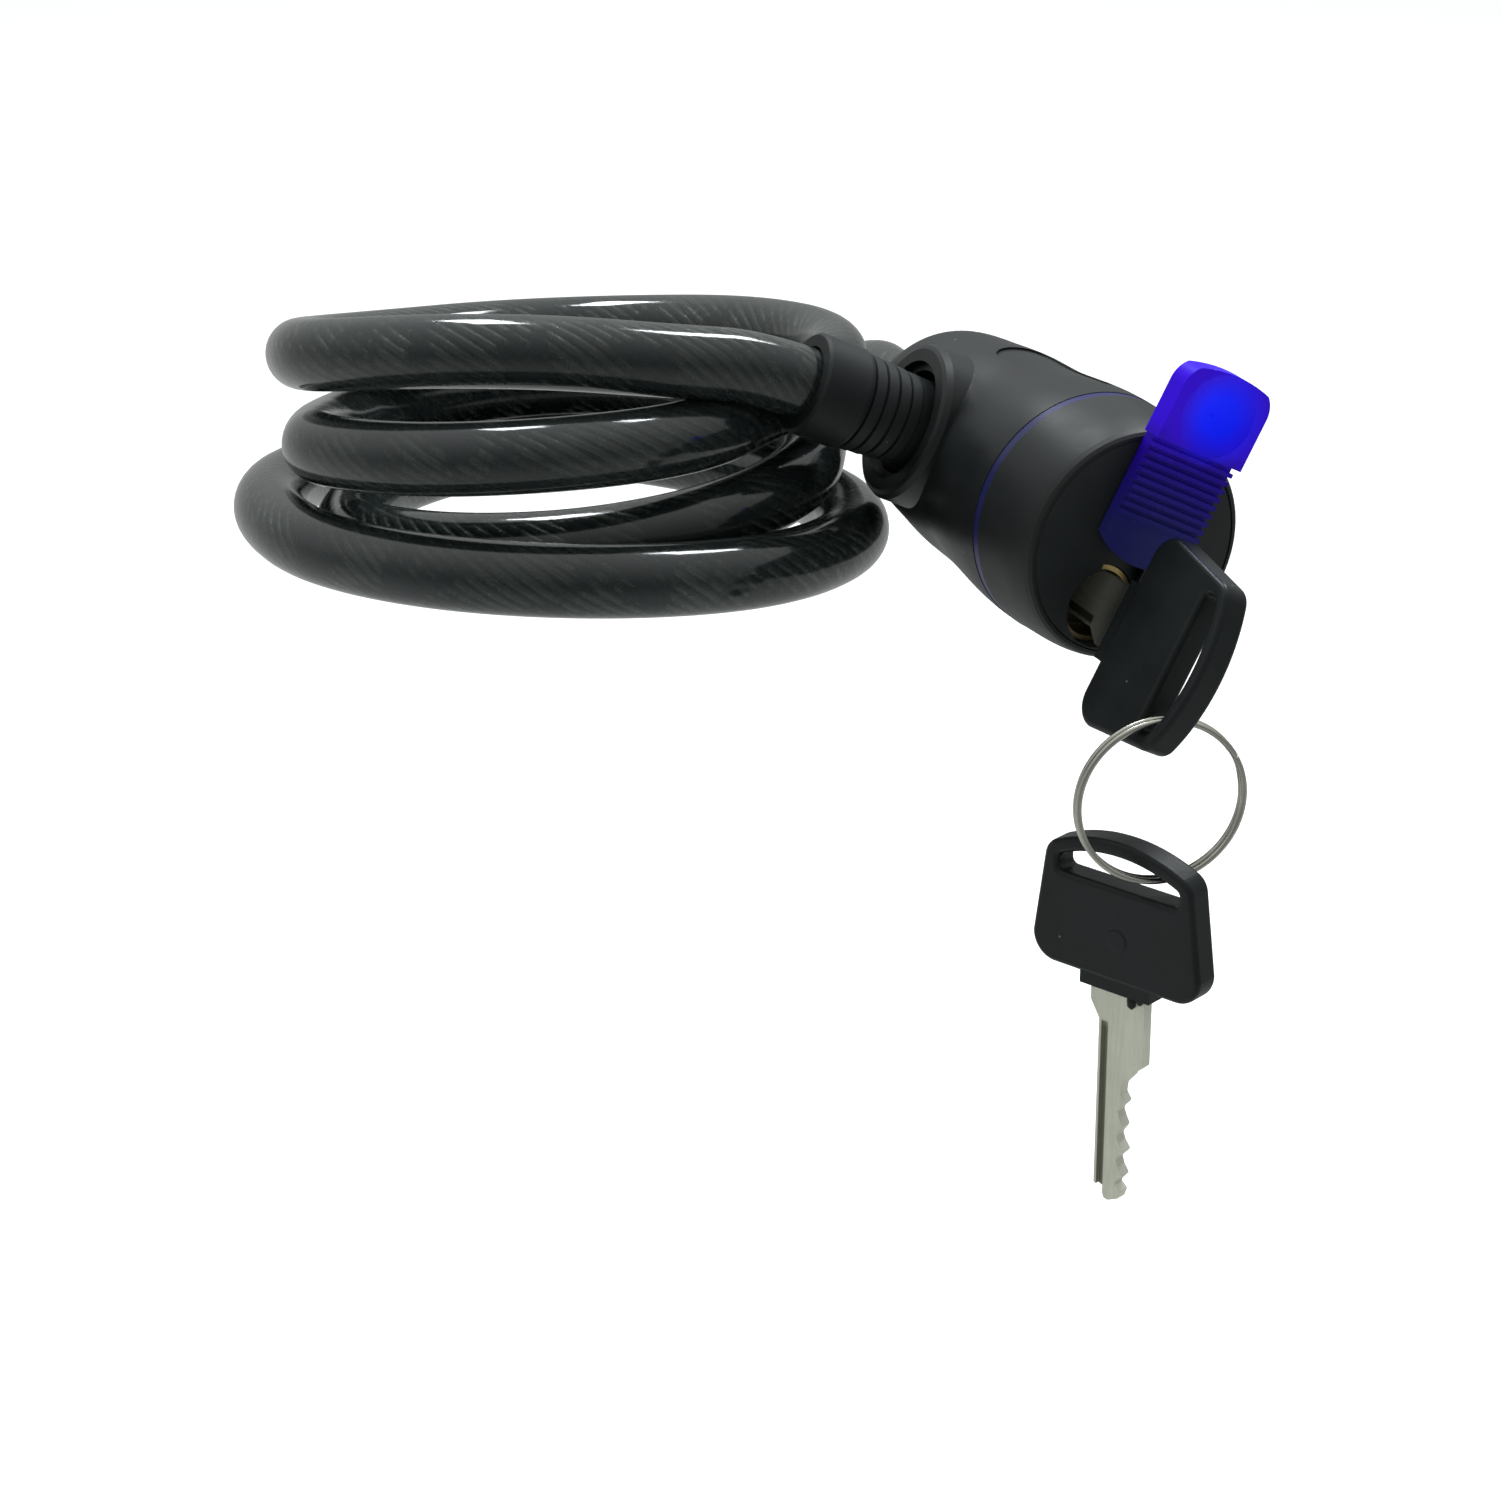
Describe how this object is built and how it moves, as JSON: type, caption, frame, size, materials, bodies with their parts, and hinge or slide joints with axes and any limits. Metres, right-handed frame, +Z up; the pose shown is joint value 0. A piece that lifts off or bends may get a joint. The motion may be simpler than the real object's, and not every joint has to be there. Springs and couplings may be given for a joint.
{
  "type": "cable lock",
  "caption": "Coiled steel cable lock: keyed lock head with a side socket for the locking plug, sliding keyhole cover, jacketed cable and two keys on a split ring.",
  "frame": {"origin": "centre of the cable's coil, on the axis of the post or hook that it hangs round", "axes": "+Z up, along the coil's axis; +X from the coil's centre towards the lock head; -Y the way the keyhole face looks"},
  "size_m": [0.1707, 0.1604, 0.1378],
  "materials": {
    "shell_black": "fine-textured black moulded plastic, soft sheen",
    "front_shell_black": "fine-textured black moulded plastic, soft sheen",
    "seam_blue": "dark blue moulded plastic",
    "face_black": "fine-textured black moulded plastic",
    "case_screw_steel": "zinc plated",
    "lock_body_zinc": "as-cast zinc alloy",
    "housing_brass": "turned brass, a little tarnished",
    "core_brass": "turned brass",
    "wafer_brass": "stamped brass",
    "tumbler_spring_steel": "spring steel",
    "cam_steel": "hardened steel",
    "clip_steel": "spring steel",
    "latch_steel": "hardened steel",
    "latch_spring_steel": "spring steel",
    "liner_black": "black plastic",
    "plate_steel": "zinc plated",
    "plate_screw_steel": "zinc plated",
    "fixed_ferrule_steel": "crimped steel",
    "grommet_black": "black flexible plastic",
    "detent_steel": "spring steel",
    "cover_blue": "translucent blue moulded plastic",
    "pin_steel": "hardened, plated steel",
    "grip_black": "satin black moulded plastic",
    "plug_ferrule_steel": "crimped steel",
    "jacket_smoke": "glossy smoke-tinted clear vinyl",
    "rope_steel": "galvanised steel wire rope",
    "bow_1_black": "satin black moulded plastic",
    "bow_2_black": "satin black moulded plastic",
    "blade_1_nickel": "nickel plated, lightly brushed",
    "blade_2_nickel": "nickel plated, lightly brushed",
    "ring_nickel": "nickel plated spring wire"
  },
  "bodies": {
    "lock_head": {"rear_shell": "shell_black", "front_shell": "front_shell_black", "seam_ring": "seam_blue", "face_cap": "face_black", "case_screws": "case_screw_steel", "lock_body": "lock_body_zinc", "cylinder_housing": "housing_brass", "latch_spring": "latch_spring_steel", "socket_liner": "liner_black", "ferrule_plate": "plate_steel", "plate_screws": "plate_screw_steel", "fixed_ferrule": "fixed_ferrule_steel", "rear_grommet": "grommet_black", "cover_detent": "detent_steel", "cable_jacket": "jacket_smoke", "wire_rope": "rope_steel"},
    "key_core": {"key_plug": "core_brass", "wafer_tumblers": "wafer_brass", "tumbler_springs": "tumbler_spring_steel", "cam": "cam_steel", "retaining_clip": "clip_steel"},
    "latch": {"latch_slider": "latch_steel"},
    "cover": {"keyhole_cover": "cover_blue"},
    "cable_plug": {"plug_pin": "pin_steel", "plug_grip": "grip_black", "plug_ferrule": "plug_ferrule_steel"},
    "key_1": {"key_bow_1": "bow_1_black", "key_blade_1": "blade_1_nickel"},
    "ring": {"split_ring": "ring_nickel"},
    "spare_key": {"key_bow_2": "bow_2_black", "key_blade_2": "blade_2_nickel"}
  },
  "joints": [
    {"name": "plug_slide", "type": "slide", "parent": "lock_head", "child": "cable_plug", "axis": [-0.8577, -0.2896, 0.4248], "range_m": [0, 0.028], "deforming": ["cable_jacket", "wire_rope"]},
    {"name": "key_turn", "type": "hinge", "parent": "lock_head", "child": "key_core", "pos_m": [0.08189, -0.04473, -0.00879], "axis": [0.4347, -0.8992, -0.0506], "range_deg": [0, 90]},
    {"name": "latch_slide", "type": "slide", "parent": "lock_head", "child": "latch", "axis": [0.4284, 0.157, 0.8899], "range_m": [-0.002, 0], "deforming": ["latch_spring"]},
    {"name": "key_withdraw", "type": "slide", "parent": "key_core", "child": "key_1", "axis": [0.4347, -0.8992, -0.0506], "range_m": [0, 0.11]},
    {"name": "cover_slide", "type": "slide", "parent": "lock_head", "child": "cover", "axis": [0.4284, 0.157, 0.8899], "range_m": [-0.014, 0]},
    {"name": "ring_swing", "type": "hinge", "parent": "key_1", "child": "ring", "pos_m": [0.09595, -0.08309, -0.01879], "axis": [0.7513, -0.66, 0], "range_deg": [-8, 8]},
    {"name": "spare_swing", "type": "hinge", "parent": "ring", "child": "spare_key", "pos_m": [0.09595, -0.08309, -0.04569], "axis": [0.7513, -0.66, 0], "range_deg": [-8, 8]}
  ],
  "couplings": [
    {"joint": "latch_slide", "follows": "key_turn", "m_per_rad": -0.0012732},
    {"joint": "cover_slide", "follows": "key_withdraw", "ratio": -0.12727}
  ]
}
